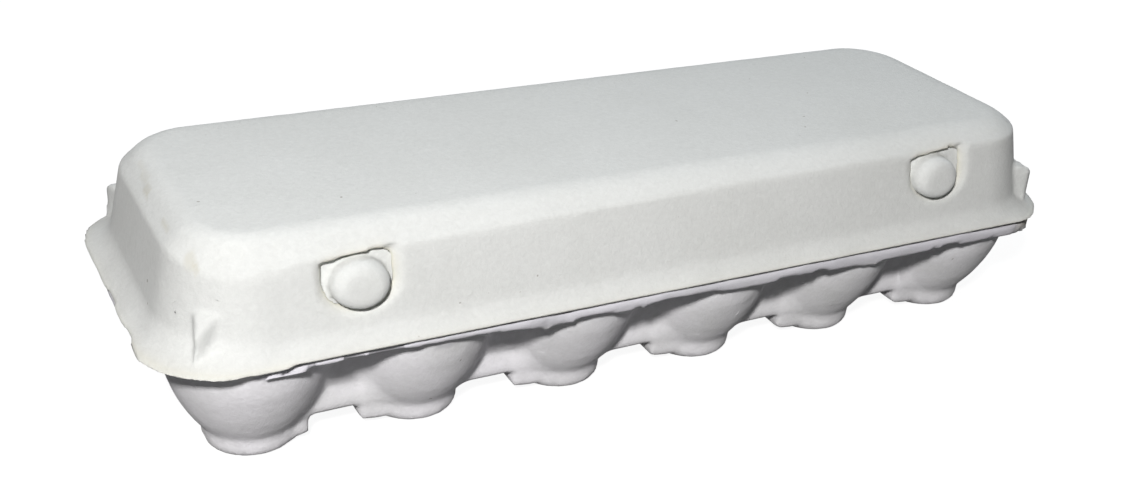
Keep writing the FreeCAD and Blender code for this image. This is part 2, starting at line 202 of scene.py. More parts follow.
class PulpLooks(PropertyGroup):
    lid_colour: colour("Lid colour", "Bleached pulp, a neutral white", "DBDDDC")
    # painted light: the tray is written much lighter than the lid's pulp, standing in for light on its
    # downward-facing bowls
    tray_colour: colour("Tray colour", "Bleached further, and a little cooler", "F7F6FB")
    cloud_colour: colour("Cloud colour", "Where the pulp settled thicker", "D2D4D2")
    edge_colour: colour("Edge colour", "The lid's cut edges, where the fibres yellow", "DFD8BA")
    # painted shade: this grey tint darkens the tray's front fold and rim edge, which the lamp lights
    # fully, against the lightened tray
    tray_edge_shade_colour: colour("Torn colour", "The tray's torn and folded edges", "ACABB6")
    # on the lid these are real scuffs; on the tray the same tint is painted shade under the flange at the
    # drooping front right corner
    scuff_and_shade_colour: colour("Mark colour", "Tea-brown scuffs on the shoulder", "A59A72")
    speck_colour: colour("Speck colour", "Bark specks in the recycled fibre", "6E6355")
    lid_cell: length("Lid mesh size", "Spacing of the lid's surface points", 0.9)
    tray_cell: length("Tray mesh size", "Spacing of the tray's surface points", 1.35)
    relief: length("Relief", "Height of the skin's unevenness", 0.22)
    relief_size: length("Relief size", "Distance between its humps", 7.0)
    fuzz_length: length("Fibre length", "Short fibres along the cut edges, which grow inwards", 1.5)
    fuzz_radius: length("Fibre radius", "Drawn coarser than a real fibre, so that it shows", 0.05)
    seed: IntProperty(name="Seed", description="Seed of everything random", default=12, min=0)


class StageLooks(PropertyGroup):
    lens: FloatProperty(name="Lens", description="Focal length on a 36 mm sensor, in millimetres",
                        default=45.15, min=10)
    camera_place: point("Camera place", "Where the camera stands", (-0.2045, -0.3584, 0.2286))
    yaw: angle("Yaw", "Turn from +Y towards +X", 28.83)
    pitch: angle("Pitch", "How far the camera looks down", 26.33)
    roll: angle("Roll", "Lean of the camera to its left", 3.67)
    aim: point("Aim", "Point of the box that both lamps look at", (0, 0, 0.03))
    key_place: point("Key place", "Where the key light hangs", (-0.31, -0.445, 0.42))
    key_size: length("Key size", "Side of the key light, small enough for firm shadows", 50)
    key_power: watts("Key power", "Power of the key light", 4.4)
    key_tint: colour("Key tint", "The faintly warm light of the key", "FFFDFB")
    top_place: point("Top place", "Where the wide lamp hangs", (0.26, 0.36, 0.75))
    top_size: length("Top size", "Side of the wide lamp", 600)
    top_power: watts("Top power", "Power of the wide lamp", 2.7)
    top_tint: colour("Top tint", "The faintly cool light from above", "F2FAFF")
    ambient: FloatProperty(name="Ambient", description="Strength of the even light all round",
                           default=0.01, min=0)


# ------------------------------------------------------------------ fields
# A field is the signed distance to a form's skin: below zero inside, above zero outside.
def joined(a, b, radius):
    """Both forms, with a fillet of that radius where they meet."""
    round_part = np.hypot(np.maximum(radius - a, 0), np.maximum(radius - b, 0))
    return np.maximum(radius, np.minimum(a, b)) - round_part


def common(a, b, radius):
    """What two forms have in common, with its edges rounded to that radius."""
    return -joined(-a, -b, radius)


def sheet_under(skin, wall):
    """A sheet of pulp of that thickness on the inside of a skin."""
    return np.maximum(skin, -(skin + wall))


def rounded_rectangle(x, y, half_x, half_y, corner):
    out_x = np.abs(x) - (half_x - corner)
    out_y = np.abs(y) - (half_y - corner)
    beyond = np.hypot(np.maximum(out_x, 0), np.maximum(out_y, 0))
    return beyond + np.minimum(np.maximum(out_x, out_y), 0) - corner


def ease(share):
    """0 below 0, 1 above 1, and smooth between."""
    share = np.clip(share, 0, 1)
    return share * share * (3 - 2 * share)


def near(distance, width):
    """1 on a line or surface and fading to 0 over about that width."""
    return np.exp(-np.abs(distance) / width)


def from_nearest(values, places):
    """How far each value is from the nearest of some evenly spaced places."""
    pitch = places[1] - places[0]
    index = np.clip(np.round((values - places[0]) / pitch), 0, len(places) - 1)
    return values - places[0] - index * pitch


def unevenness(x, y, z, size, seed):
    """A smooth random number, mostly from -1 to 1, that changes over about one size. Each use has
    a seed of its own, so that no two patterns line up.
    """
    waves, usual_sum = 7, 2.6
    random = np.random.default_rng(seed)
    total = 0.0
    for _ in range(waves):
        turn = random.normal(size=3)
        turn *= math.pi / size * random.uniform(0.6, 1.5) / np.linalg.norm(turn)
        phase = random.uniform(0, 2 * math.pi)
        total = total + np.sin(turn[0] * x + turn[1] * y + turn[2] * z + phase)
    return total / usual_sum


# ------------------------------------------------------------------ tray
def cup_field(x, y, z, tray):
    """A bowl that swells above an upright, round-edged foot."""
    step_start, step_rise = 0.6 * MM, 2.6 * MM
    height = PART_LEVEL - tray.foot_rise
    outward = np.abs(y) - ROWS[-1]
    outward = outward * (1 - tray.bulge * ease((z - tray.foot_rise) / height) * (outward > 0))
    radius = np.hypot(from_nearest(x, COLUMNS), outward)
    left = 1 - np.clip((z - tray.foot_rise) / height, 0, 1)
    step = tray.collar * ease((z - tray.foot_rise + step_start) / step_rise) * left
    swell = tray.bowl_radius - tray.foot_radius
    bowl = tray.foot_radius - step + swell * (1 - left ** tray.fullness)
    lean = np.where(z > tray.foot_rise, swell * tray.fullness * left ** (tray.fullness - 1) / height, 0)
    return common((radius - bowl) / np.hypot(1, lean), -z, tray.foot_round)


def valley_field(x, y, z, tray):
    """The trough that joins the cups of a row: upright at its foot and wider at the top."""
    above = z - tray.valley_floor - tray.valley_face
    spread = (tray.valley_high - tray.valley_low) / (PART_LEVEL - tray.valley_floor - tray.valley_face)
    side = np.abs(from_nearest(y, ROWS)) - tray.valley_low - spread * np.maximum(above, 0)
    side = side / np.where(above > 0, math.hypot(1, spread), 1)
    ends = np.abs(x) - COLUMNS[-1]
    return common(common(side, tray.valley_floor - z, radius=1.6 * MM), ends, radius=3 * MM)


def lobe_field(x, y, z, tray):
    """Toes under the valley: each foot has one on its left, and the first one on its right too."""
    first_shorter, climb = 5.5 * MM, 0.2
    from_foot = from_nearest(x, COLUMNS)
    right = np.where(x < POSTS[0], tray.lobe_reach - first_shorter, tray.lobe_right)
    along = np.maximum(-from_foot - tray.lobe_reach, from_foot - right)
    across = np.abs(from_nearest(y, ROWS)) - tray.lobe_half
    plan = common(common(along, across, radius=1.5 * MM), np.abs(x) - COLUMNS[-1], radius=1 * MM)
    level = tray.lobe_level + climb * np.maximum(np.abs(from_foot) - tray.foot_radius, 0)
    return common(plan, level - z, radius=1.2 * MM)


def post_air_field(x, y, z, tray):
    """The air inside the hollow cone posts, each in the middle of four cups."""
    top = TRAY_HIGH.z - tray.wall
    share = np.clip((z - PART_LEVEL) / (top - PART_LEVEL), 0, 1)
    root, tip = tray.post_root - tray.wall, tray.post_tip - tray.wall
    side = np.hypot(from_nearest(x, POSTS), y) - (root + (tip - root) * share)
    return common(side, z - top, radius=2.5 * MM)


def from_drooping_corner(x, y):
    """Distance, in plan, from the front right corner of the rim."""
    inward = 6 * MM
    return np.hypot(x - TRAY_HIGH.x + inward, y - TRAY_LOW.y - inward)


def rim_sag(x, y, tray, seed):
    """How far the thin rim hangs below the part level."""
    edge_band, corner_reach = 9 * MM, 26 * MM
    inside = -rounded_rectangle(x, y, LID_HIGH.x, LID_HIGH.y, tray.rim_corner)
    near_edge = ease(1 - inside / edge_band)
    wave = np.clip(unevenness(x, y, 0, size=16 * MM, seed=seed), -1, 1)
    ripple = tray.rim_ripple * (0.5 + 0.5 * wave)
    corner = tray.droop * ease(1.25 - from_drooping_corner(x, y) / corner_reach)
    return near_edge * (ripple + corner)


def front_fold_field(x, y, z, tray, seed):
    """The wavy edge that hangs from the front rim where the lock flap is folded up. Left of the
    flap a thin torn strip of it is left, which hangs lower towards its free end.
    """
    wave = unevenness(x, 0, 0, size=9 * MM, seed=seed + 1)
    slow_wave = unevenness(x, 0, 0, size=22 * MM, seed=seed + 2)
    quick_wave = unevenness(x, 0, 0, size=3 * MM, seed=seed + 8)
    left_end = FLAP_LOW.x + 12 * MM
    growth_from, growth_run = LID_LOW.x / 15, 110 * MM
    drop = tray.fold_drop + tray.fold_growth * ease((x - growth_from) / growth_run)
    # towards its ends it hangs less far: how far on, over what run, and by what share of the drop
    for onward, run, share in ((left_end + 60 * MM - x, 45 * MM, 0.33),
                               (left_end + 22 * MM - x, 20 * MM, 0.45),
                               (x - FLAP_HIGH.x + 6 * MM, 14 * MM, 0.25)):
        drop = drop - share * tray.fold_drop * ease(onward / run)
    drop = drop + 0.7 * MM * wave + 0.6 * MM * slow_wave + 0.25 * MM * quick_wave

    torn_drop, torn_run, torn_height, torn_length = 1.8 * MM, 18 * MM, 1.0 * MM, 23 * MM
    torn = torn_drop + torn_drop * ease((left_end - x) / torn_run) + 0.4 * MM * wave
    drop = np.where(x > left_end, drop, torn)
    top = np.where(x > left_end, 0.5 * MM, torn - torn_height)

    # the fold leans inwards a little as it goes down, and runs on round the right corner
    end_inset, front_inset, lean, corner_stop = 1.6 * MM, 0.55 * MM, 0.16, 7 * MM
    below = PART_LEVEL - z
    inward = -rounded_rectangle(x, y, LID_HIGH.x - end_inset, LID_HIGH.y - front_inset, tray.rim_corner)
    inward -= 0.25 * MM * wave + lean * np.maximum(below, 0)
    across = np.abs(inward - tray.fold_wall / 2) - tray.fold_wall / 2
    upright = np.maximum(below - drop, top - below)
    ends = np.maximum(x - LID_HIGH.x + corner_stop, left_end - torn_length - x)
    ends = np.maximum(ends, y - LID_LOW.y / 2)
    return common(common(across, upright, radius=0.6 * MM), ends, radius=0.8 * MM)


def rim_outline_field(x, y, tray, seed):
    """Plan of the rim: cut roughly, tucked in at the front left, run out to the fold behind."""
    half_x, half_y = LID_HIGH.x - tray.rim_inset, LID_HIGH.y - tray.rim_inset
    outline = rounded_rectangle(x, y, half_x, half_y, tray.rim_corner)
    ragged = 0.25 * MM * unevenness(x, y, 0, size=3.5 * MM, seed=seed + 3)
    tuck, left_tuck, left_run = 1.0 * MM, 1.6 * MM, 9 * MM
    front = ease(-y / (20 * MM))
    tucked = front * (tuck + left_tuck * ease((FLAP_LOW.x + 4 * MM - x) / left_run))
    strip_width = 5 * MM
    strip = common(y - HINGE.y, np.abs(x) - CREASE_HALF, radius=1 * MM)
    strip = common(strip, HINGE.y - strip_width - y, radius=1 * MM)
    return joined(outline + ragged + tucked, strip, radius=0.5 * MM)


def tray_field(x, y, z, tray, seed):
    """The whole tray: its outer skin, the pulp behind it, and the fold along the front."""
    fillet = 2.2 * MM
    sag_from, sag_run = 0.75 * PART_LEVEL, 5 * MM
    skin = joined(cup_field(x, y, z, tray), valley_field(x, y, z, tray), fillet)
    skin = joined(skin, lobe_field(x, y, z, tray), radius=1.6 * MM)
    hung = z + rim_sag(x, y, tray, seed) * ease((z - sag_from) / sag_run)
    skin = joined(skin, PART_LEVEL - tray.wall - hung, fillet)
    skin = common(skin, -post_air_field(x, y, z, tray), fillet)
    pulp = sheet_under(skin, tray.wall)
    pulp = common(pulp, rim_outline_field(x, y, tray, seed), radius=0.7 * MM)
    return joined(pulp, front_fold_field(x, y, z, tray, seed), radius=0.8 * MM)


# ------------------------------------------------------------------ lid
def lid_skin_field(x, y, z, lid):
    """Drafted cover with a round shoulder, flaring to a flange at the part level."""
    rise = z - PART_LEVEL
    drop = np.clip(1 - rise / lid.flange_rise, 0, 1)
    x = x - lid.cover_shift * (1 - drop)
    # the flare leaves the drafted wall smoothly and ends at about 45 degrees
    even, growing = 0.29, 0.71
    reach = even * drop + growing * drop ** 2
    inset = np.maximum(rise - lid.flange_rise, 0) * math.tan(lid.draft)
    half_x = LID_HIGH.x - lid.flange_end * (1 - reach) + lid.lip * drop ** 2 - inset
    half_y = LID_HIGH.y - lid.flange_side * (1 - reach) + lid.lip * drop ** 2 - inset
    corner = lid.foot_corner + (lid.edge_corner - lid.foot_corner) * reach - inset
    steepness = np.where(rise > lid.flange_rise, math.tan(lid.draft),
                         lid.flange_side / lid.flange_rise * (even + 2 * growing * drop))
    side = rounded_rectangle(x, y, half_x, half_y, corner) / np.hypot(1, steepness)
    cover = common(side, shoulder_field(x, y, z, side, lid), radius=0.3 * MM)
    cover = common(cover, z - LID_HIGH.z, radius=2.5 * MM)
    return joined(cover, lug_field(x, y, z, lid), radius=0.6 * MM)


def shoulder_field(x, y, z, side, lid):
    """The sloping band between the walls and the top, with a firm crease along its lower side."""
    lift_from, lift_run, dip_reach = LID_LOW.x / 1.5, 130 * MM, 16 * MM
    to_dip = np.hypot(x - LID_LOW.x - 23 * MM, y - LID_LOW.y - 10 * MM)
    fall = (lid.shoulder_fall - lid.shoulder_lift * ease((x - lift_from) / lift_run)
            + lid.shoulder_dip * ease(1.3 - to_dip / dip_reach))
    run = lid.shoulder_run
    return (side * fall + (z - LID_HIGH.z) * run + fall * run) / np.hypot(fall, run)


def lug_field(x, y, z, lid):
    """Three-sided lugs on the flange at the four corners, with an upright edge pointing out
    and a top that falls outwards.
    """
    middle_x = LID_HIGH.x - lid.flange_end - lid.foot_corner
    middle_y = LID_HIGH.y - lid.flange_side - lid.foot_corner
    out_x, out_y = np.abs(x) - middle_x, np.abs(y) - middle_y
    rear = (y > 0) * lid.rear_lug
    along = (out_x + out_y) / math.sqrt(2) - lid.foot_corner - lid.lug_out - rear
    crushed = (x < 0) & (y < 0)
    across = np.abs(out_x - out_y + crushed * lid.crushed_turn) / math.sqrt(2)
    # the two outer faces meet at 60 degrees
    faces = along * 0.5 + across * math.sqrt(0.75)
    depth = 11 * MM
    inner = -(along + depth)
    fall = np.where(crushed, lid.crushed_fall, lid.lug_fall)
    top = z - PART_LEVEL - np.where(crushed, lid.crushed_rise, lid.lug_rise - rear)
    top = top + fall * np.maximum(along + lid.lug_out, 0)
    return common(common(faces, inner, radius=0.5 * MM), top / np.hypot(1, fall), radius=0.6 * MM)


def from_lock(x, z, lid, lock):
    """How far right of and above the nearest hole's centre."""
    offset = LID_HIGH.x - lid.flange_end - lid.foot_corner - lock.inset
    right = x > lock.shift
    across = x - lock.shift - np.where(right, offset, -offset)
    return across, z - LID_HIGH.z + lock.drop - lock.tilt * right


def hole_sides(across, level, lock):
    """Upright sides that run into a round bottom, below the centre."""
    return np.hypot(across, np.minimum(level, 0) * lock.hole_half / lock.hole_low) - lock.hole_half


def hole_plan(x, z, lid, lock):
    """Seen from the front: those sides with a straight cut above, at each lock."""
    across, level = from_lock(x, z, lid, lock)
    cut = level - lock.flat_rise - lock.flat_slope * across
    bevel = (level - lock.bevel + lock.bevel_slope * across) / math.hypot(1, lock.bevel_slope)
    return common(hole_sides(across, level, lock), np.maximum(cut, bevel), radius=0.9 * MM)


def pressed_depth(x, y, z, lid, lock):
    """How far the wall is pressed in beside and below the holes."""
    across, level = from_lock(x, z, lid, lock)
    fade = 1.2 * MM
    ramp = np.clip(1 - hole_sides(across, level, lock) / lid.sink_width, 0, 1)
    below_cut = ease((lock.flat_rise + lock.flat_slope * across - level) / fade + 0.4)
    return lid.sink_depth * ramp * below_cut * (y < 0)


def lid_field(x, y, z, lid, lock, seed):
    """The whole lid: pulp behind its skin, cut level at the flange and through at the locks."""
    sag_reach, cut_above = 30 * MM, 0.15 * MM
    to_corner = np.hypot(x - LID_LOW.x - 12 * MM, y - LID_LOW.y - 6 * MM)
    near_edge = ease(1 - (z - PART_LEVEL) / lid.flange_rise)
    wave = 0.5 * lid.edge_wave * (1 + unevenness(x, y, 0, size=9 * MM, seed=seed + 5))
    z = z + near_edge * (wave + lid.corner_sag * ease(1.3 - to_corner / sag_reach))
    skin = lid_skin_field(x, y, z, lid)
    ragged = 0.12 * MM * unevenness(x, 0, z, size=4 * MM, seed=seed + 4)
    hole = hole_plan(x, z, lid, lock) + ragged
    pressed = pressed_depth(x, y, z, lid, lock)
    pulp = np.maximum(skin + pressed, -(skin + pressed / 2 + lid.wall))
    pulp = common(pulp, PART_LEVEL + cut_above - z, radius=0.5 * MM)
    return common(pulp, -np.maximum(hole, y), radius=0.35 * MM)


# ------------------------------------------------------------------ lock flap
def flap_front(z, lid, lock):
    """Y of the flap's front face, which follows the inside of the lid's front wall."""
    rise = z - PART_LEVEL - lid.flange_rise
    foot = -(LID_HIGH.y - lid.flange_side)
    return foot + rise * math.tan(lid.draft) + lid.wall / math.cos(lid.draft) + lock.gap


def flap_field(x, y, z, lid, lock, seed):
    """Leaning strip with two oval domed buttons, hollow from behind."""
    plate = (flap_front(z, lid, lock) - y) * math.cos(lid.draft)
    across, level = from_lock(x, z, lid, lock)
    across = across + lock.button_slip * (x > lock.shift)
    oval = np.hypot(across, level * lock.button_half / lock.button_rise) - lock.button_half
    dome = common(oval, plate - lid.wall - lock.gap - lock.button_out, radius=3.8 * MM)
    skin = joined(plate, dome, radius=0.8 * MM)
    pulp = sheet_under(skin, lock.wall)
    ragged = 0.3 * MM * unevenness(x, 0, z, size=5 * MM, seed=seed + 6)
    ends = np.abs(x) - FLAP_HIGH.x + ragged
    tilt_run, cut_edge = 90 * MM, 0.5 * MM
    top = z - FLAP_HIGH.z - lock.tilt * ease(x / tilt_run) + ragged
    return common(common(pulp, ends, cut_edge), np.maximum(top, FLAP_LOW.z - z), cut_edge)


# ------------------------------------------------------------------ hinge fold
def fold_field(x, y, z, seed):
    """Half-round crease of thin pulp that joins the tray's rim to the lid's flange."""
    middle_in, bend_radius, half_wall, overlap = 0.2 * MM, 1.15 * MM, 0.45 * MM, 0.3 * MM
    ring = np.hypot(y - HINGE.y + middle_in, z - HINGE.z)
    wave = 0.1 * MM * unevenness(x, 0, z, size=4 * MM, seed=seed + 7)
    crease = np.abs(ring - bend_radius - wave) - half_wall
    behind = HINGE.y - overlap - y
    ends = np.abs(x) - CREASE_HALF
    return common(common(crease, behind, radius=0.2 * MM), ends, radius=0.3 * MM)


# ------------------------------------------------------------------ meshes
def moulded_mesh(name, low, high, cell, field, thrift=0.05):
    """Closed mesh round the space between two corners where the field is below zero. The more
    thrift, the larger its faces on stretches that are nearly flat.
    """
    band = 2.5  # cells on either side of the skin that hold a distance
    low = np.array(low) - band * cell
    counts = np.ceil((np.array(high) + band * cell - low) / cell).astype(int) + 1
    axes = [low[i] + cell * np.arange(counts[i]) for i in range(3)]
    values = np.clip(field(*np.meshgrid(*axes, indexing="ij")) / cell, -band, band)
    grid = openvdb.FloatGrid(background=band)
    grid.copyFromArray(values.astype(np.float32))
    points, triangles, quads = grid.convertToPolygons(isovalue=0.0, adaptivity=thrift)
    # this order has the faces point inwards, and the finish turns them
    faces = triangles[:, ::-1].tolist() + quads[:, ::-1].tolist()
    mesh = bpy.data.meshes.new(name)
    mesh.from_pydata((points * cell + low).tolist(), [], faces)
    mesh.validate()
    return mesh


def points_of(mesh):
    """The x, y and z of a mesh's vertices, as three arrays."""
    found = np.empty(len(mesh.vertices) * 3)
    mesh.vertices.foreach_get("co", found)
    return found.reshape(-1, 3).T


def paint(mesh, **layers):
    """Stores numbers for the vertices, or one number for all, that material and finish can read."""
    for name, values in layers.items():
        attribute = mesh.attributes.new(name, "FLOAT", "POINT")
        spread = np.zeros(len(mesh.vertices), np.float32) + np.clip(values, 0, 1).astype(np.float32)
        attribute.data.foreach_set("value", spread)


def linked(name, data):
    """A new object in the scene."""
    made = bpy.data.objects.new(name, data)
    bpy.context.scene.collection.objects.link(made)
    return made


# ------------------------------------------------------------------ nodes
def bare_tree(owner):
    """The node tree of a material or a world, emptied."""
    owner.use_nodes = True
    owner.node_tree.nodes.clear()
    return owner.node_tree


def add(tree, kind, settings, inputs):
    """Adds a node, sets its properties, and feeds its inputs with values or other outputs."""
    made = tree.nodes.new(kind)
    for key, value in settings.items():
        setattr(made, key, value)
    for key, value in inputs.items():
        if isinstance(value, NodeSocket):
            tree.links.new(value, made.inputs[key])
        else:
            made.inputs[key].default_value = value
    return made


def finish_tree():
    """Geometry nodes that give a moulded skin its uneven surface and the fibres at its edges."""
    tree = bpy.data.node_groups.new("Pulp finish", "GeometryNodeTree")
    sockets = (("Geometry", "NodeSocketGeometry"), ("Relief", "NodeSocketFloat"),
               ("Relief size", "NodeSocketFloat"), ("Fibre length", "NodeSocketFloat"),
               ("Fibre radius", "NodeSocketFloat"), ("Fibres per m2", "NodeSocketFloat"),
               ("Seed", "NodeSocketInt"), ("Material", "NodeSocketMaterial"))
    for name, kind in sockets:
        tree.interface.new_socket(name, in_out="INPUT", socket_type=kind)
    tree.interface.new_socket("Geometry", in_out="OUTPUT", socket_type="NodeSocketGeometry")
    given = add(tree, "NodeGroupInput", {}, {}).outputs
    position = add(tree, "GeometryNodeInputPosition", {}, {}).outputs[0]
    normal = add(tree, "GeometryNodeInputNormal", {}, {}).outputs[0]

    clean = add(tree, "GeometryNodeMergeByDistance", {},
                {"Geometry": given["Geometry"], "Distance": 0.2 * MM}).outputs[0]

    # slow humps and a finer felt, both pushed along the normal
    per_metre = add(tree, "ShaderNodeMath", {"operation": "DIVIDE"},
                    {0: 1.0, 1: given["Relief size"]}).outputs[0]
    humps = add(tree, "ShaderNodeTexNoise", {"noise_dimensions": "4D"},
                {"Vector": position, "W": given["Seed"], "Scale": per_metre, "Detail": 3.0})
    centred = add(tree, "ShaderNodeMath", {"operation": "SUBTRACT"},
                  {0: humps.outputs["Fac"], 1: 0.5}).outputs[0]
    height = add(tree, "ShaderNodeMath", {"operation": "MULTIPLY"},
                 {0: centred, 1: given["Relief"]}).outputs[0]
    push = add(tree, "ShaderNodeVectorMath", {"operation": "SCALE"},
               {0: normal, "Scale": height}).outputs[0]
    uneven = add(tree, "GeometryNodeSetPosition", {},
                 {"Geometry": clean, "Offset": push}).outputs[0]

    # short fibres, densest where the painted edge is strongest; they grow inwards, into the pulp
    edge = add(tree, "GeometryNodeInputNamedAttribute", {"data_type": "FLOAT"},
               {"Name": "edge"}).outputs["Attribute"]
    density = add(tree, "ShaderNodeMath", {"operation": "MULTIPLY"},
                  {0: edge, 1: given["Fibres per m2"]}).outputs[0]
    roots = add(tree, "GeometryNodeDistributePointsOnFaces", {},
                {"Mesh": uneven, "Density": density, "Seed": given["Seed"]})
    bow = add(tree, "GeometryNodeCurvePrimitiveBezierSegment", {"mode": "OFFSET"},
              {"Resolution": 3, "Start": (0, 0, 0), "Start Handle": (0, 0, 0.5),
               "End": (0.6, 0, 0.75), "End Handle": (-0.4, 0.1, 0)}).outputs[0]
    thin = add(tree, "ShaderNodeMath", {"operation": "DIVIDE"},
               {0: given["Fibre radius"], 1: given["Fibre length"]}).outputs[0]
    ring = add(tree, "GeometryNodeCurvePrimitiveCircle", {},
               {"Resolution": 4, "Radius": thin}).outputs[0]
    fibre = add(tree, "GeometryNodeCurveToMesh", {},
                {"Curve": bow, "Profile Curve": ring, "Fill Caps": True}).outputs[0]
    spin = add(tree, "FunctionNodeRandomValue", {"data_type": "FLOAT"},
               {2: 0.0, 3: 2 * math.pi, "Seed": given["Seed"]}).outputs[1]
    spun = add(tree, "ShaderNodeCombineXYZ", {}, {"Z": spin}).outputs[0]
    turned = add(tree, "FunctionNodeRotateRotation", {"rotation_space": "LOCAL"},
                 {"Rotation": roots.outputs["Rotation"], "Rotate By": spun}).outputs[0]
    stretch = add(tree, "FunctionNodeRandomValue", {"data_type": "FLOAT"},
                  {2: 0.35, 3: 1.0, "Seed": given["Seed"]}).outputs[1]
    size = add(tree, "ShaderNodeMath", {"operation": "MULTIPLY"},
               {0: stretch, 1: given["Fibre length"]}).outputs[0]
    fuzz = add(tree, "GeometryNodeInstanceOnPoints", {},
               {"Points": roots.outputs["Points"], "Instance": fibre, "Rotation": turned,
                "Scale": size}).outputs[0]

    # the moulded skin comes with its faces inwards, so they are turned before the fibres join it
    outward = add(tree, "GeometryNodeFlipFaces", {}, {"Mesh": uneven}).outputs[0]
    both = add(tree, "GeometryNodeJoinGeometry", {}, {"Geometry": outward})
    tree.links.new(fuzz, both.inputs["Geometry"])
    whole = add(tree, "GeometryNodeRealizeInstances", {}, {"Geometry": both.outputs[0]}).outputs[0]
    smooth = add(tree, "GeometryNodeSetShadeSmooth", {}, {"Geometry": whole}).outputs[0]
    dressed = add(tree, "GeometryNodeSetMaterial", {},
                  {"Geometry": smooth, "Material": given["Material"]}).outputs[0]
    add(tree, "NodeGroupOutput", {}, {"Geometry": dressed})
    return tree


def finished_piece(name, mesh, looks, material, fibres=0.0, relief=None):
    """Runs the finish on a moulded mesh and returns the piece as a plain mesh object."""
    tree = bpy.data.node_groups.get("Pulp finish") or finish_tree()
    values = {"Relief": looks.relief if relief is None else relief,
              "Relief size": looks.relief_size, "Fibre length": looks.fuzz_length,
              "Fibre radius": looks.fuzz_radius, "Fibres per m2": fibres,
              "Seed": looks.seed, "Material": material}
    blank = linked(name + "_blank", mesh)
    finish = blank.modifiers.new("Pulp finish", "NODES")
    finish.node_group = tree
    for item in tree.interface.items_tree:
        if item.in_out == "INPUT" and item.name in values:
            finish[item.identifier] = values[item.name]
    evaluated = blank.evaluated_get(bpy.context.evaluated_depsgraph_get())
    plain = bpy.data.meshes.new_from_object(evaluated)
    blank.modifiers.remove(finish)
    bpy.data.objects.remove(blank)
    plain.name = name
    return linked(name, plain)


# ------------------------------------------------------------------ material
def pulp_material(name, base, edge_colour, looks, swells=0.0):
    """Moulded paper pulp: felted recycled fibre, pressed on a screen and dried. The eye sees a
    chalky, unglazed white with slow clouds, short fibres, a few bark specks and yellowed edges.
    On the tray the edge tint is painted shade along the fold and the rim's cut edge, and the
    mark tint is painted shade at the drooping corner.
    """
    material = bpy.data.materials.new(name)
    tree = bare_tree(material)
    place = add(tree, "ShaderNodeTexCoord", {}, {}).outputs["Object"]

    def per(millimetres):
        """Texture scale for a pattern that repeats in about that distance."""
        return 1 / (millimetres * MM)

    clouds = add(tree, "ShaderNodeTexNoise", {},
                 {"Vector": place, "Scale": per(45), "Detail": 4.0, "Roughness": 0.6}).outputs[0]
    felt = add(tree, "ShaderNodeTexNoise", {},
               {"Vector": place, "Scale": per(1.6), "Detail": 5.0, "Roughness": 0.7,
                "Distortion": 0.6}).outputs[0]
    # drawn about three times coarser than real fibres, which would not show
    strands = add(tree, "ShaderNodeTexVoronoi", {"feature": "DISTANCE_TO_EDGE"},
                  {"Vector": place, "Scale": per(1.8), "Randomness": 1.0}).outputs[0]
    bark = add(tree, "ShaderNodeTexNoise", {},
               {"Vector": place, "Scale": per(2.4), "Detail": 1.0}).outputs[0]

    cloud_part = add(tree, "ShaderNodeMapRange", {},
                     {"Value": clouds, "From Min": 0.38, "From Max": 0.72, "To Max": 0.55}).outputs[0]
    tone = add(tree, "ShaderNodeMix", {"data_type": "RGBA"},
               {"Factor": cloud_part, 6: (*base, 1), 7: (*looks.cloud_colour, 1)}).outputs[2]
    felt_part = add(tree, "ShaderNodeMapRange", {},
                    {"Value": felt, "From Min": 0.3, "From Max": 0.75, "To Min": 0.93,
                     "To Max": 1.04}).outputs[0]
    tone = add(tree, "ShaderNodeMix", {"data_type": "RGBA", "blend_type": "MULTIPLY"},
               {"Factor": 1.0, 6: tone, 7: felt_part}).outputs[2]
    edge = add(tree, "ShaderNodeAttribute", {"attribute_name": "edge"}, {}).outputs["Fac"]
    edge_part = add(tree, "ShaderNodeMath", {"operation": "MULTIPLY"}, {0: edge, 1: 0.5}).outputs[0]
    mark = add(tree, "ShaderNodeAttribute", {"attribute_name": "mark"}, {}).outputs["Fac"]
    mark_part = add(tree, "ShaderNodeMath", {"operation": "MULTIPLY"}, {0: mark, 1: felt}).outputs[0]
    bark_part = add(tree, "ShaderNodeMapRange", {},
                    {"Value": bark, "From Min": 0.80, "From Max": 0.83, "To Max": 0.5}).outputs[0]
    # on the tray the edge and mark tints are painted shade: darker along the fold and rim edge,
    # olive-brown under the flange at the drooping corner
    for part, tint in ((edge_part, edge_colour), (mark_part, looks.scuff_and_shade_colour),
                       (bark_part, looks.speck_colour)):
        tone = add(tree, "ShaderNodeMix", {"data_type": "RGBA"},
                   {"Factor": part, 6: tone, 7: (*tint, 1)}).outputs[2]

    strand_part = add(tree, "ShaderNodeMapRange", {},
                      {"Value": strands, "From Max": 0.25, "To Min": 0.12, "To Max": 0.0}).outputs[0]
    height = add(tree, "ShaderNodeMath", {"operation": "ADD"}, {0: felt, 1: strand_part}).outputs[0]
    if swells:
        # faint level swells round the bowls; a wave repeats in pi / 10 of the texture's unit
        rings = add(tree, "ShaderNodeTexWave", {"bands_direction": "Z"},
                    {"Vector": place, "Scale": per(20.1) * math.pi / 10,
                     "Distortion": 2.0, "Detail": 2.0}).outputs["Fac"]
        ring_part = add(tree, "ShaderNodeMath", {"operation": "MULTIPLY"},
                        {0: rings, 1: swells}).outputs[0]
        height = add(tree, "ShaderNodeMath", {"operation": "ADD"}, {0: height, 1: ring_part}).outputs[0]
    bumps = add(tree, "ShaderNodeBump", {},
                {"Strength": 0.55, "Distance": 0.25 * MM, "Height": height}).outputs[0]
    shader = add(tree, "ShaderNodeBsdfPrincipled", {},
                 {"Base Color": tone, "Roughness": 0.92, "IOR": 1.45, "Specular IOR Level": 0.25,
                  "Sheen Weight": 0.08, "Sheen Roughness": 0.6, "Normal": bumps}).outputs[0]
    add(tree, "ShaderNodeOutputMaterial", {}, {"Surface": shader})
    return material


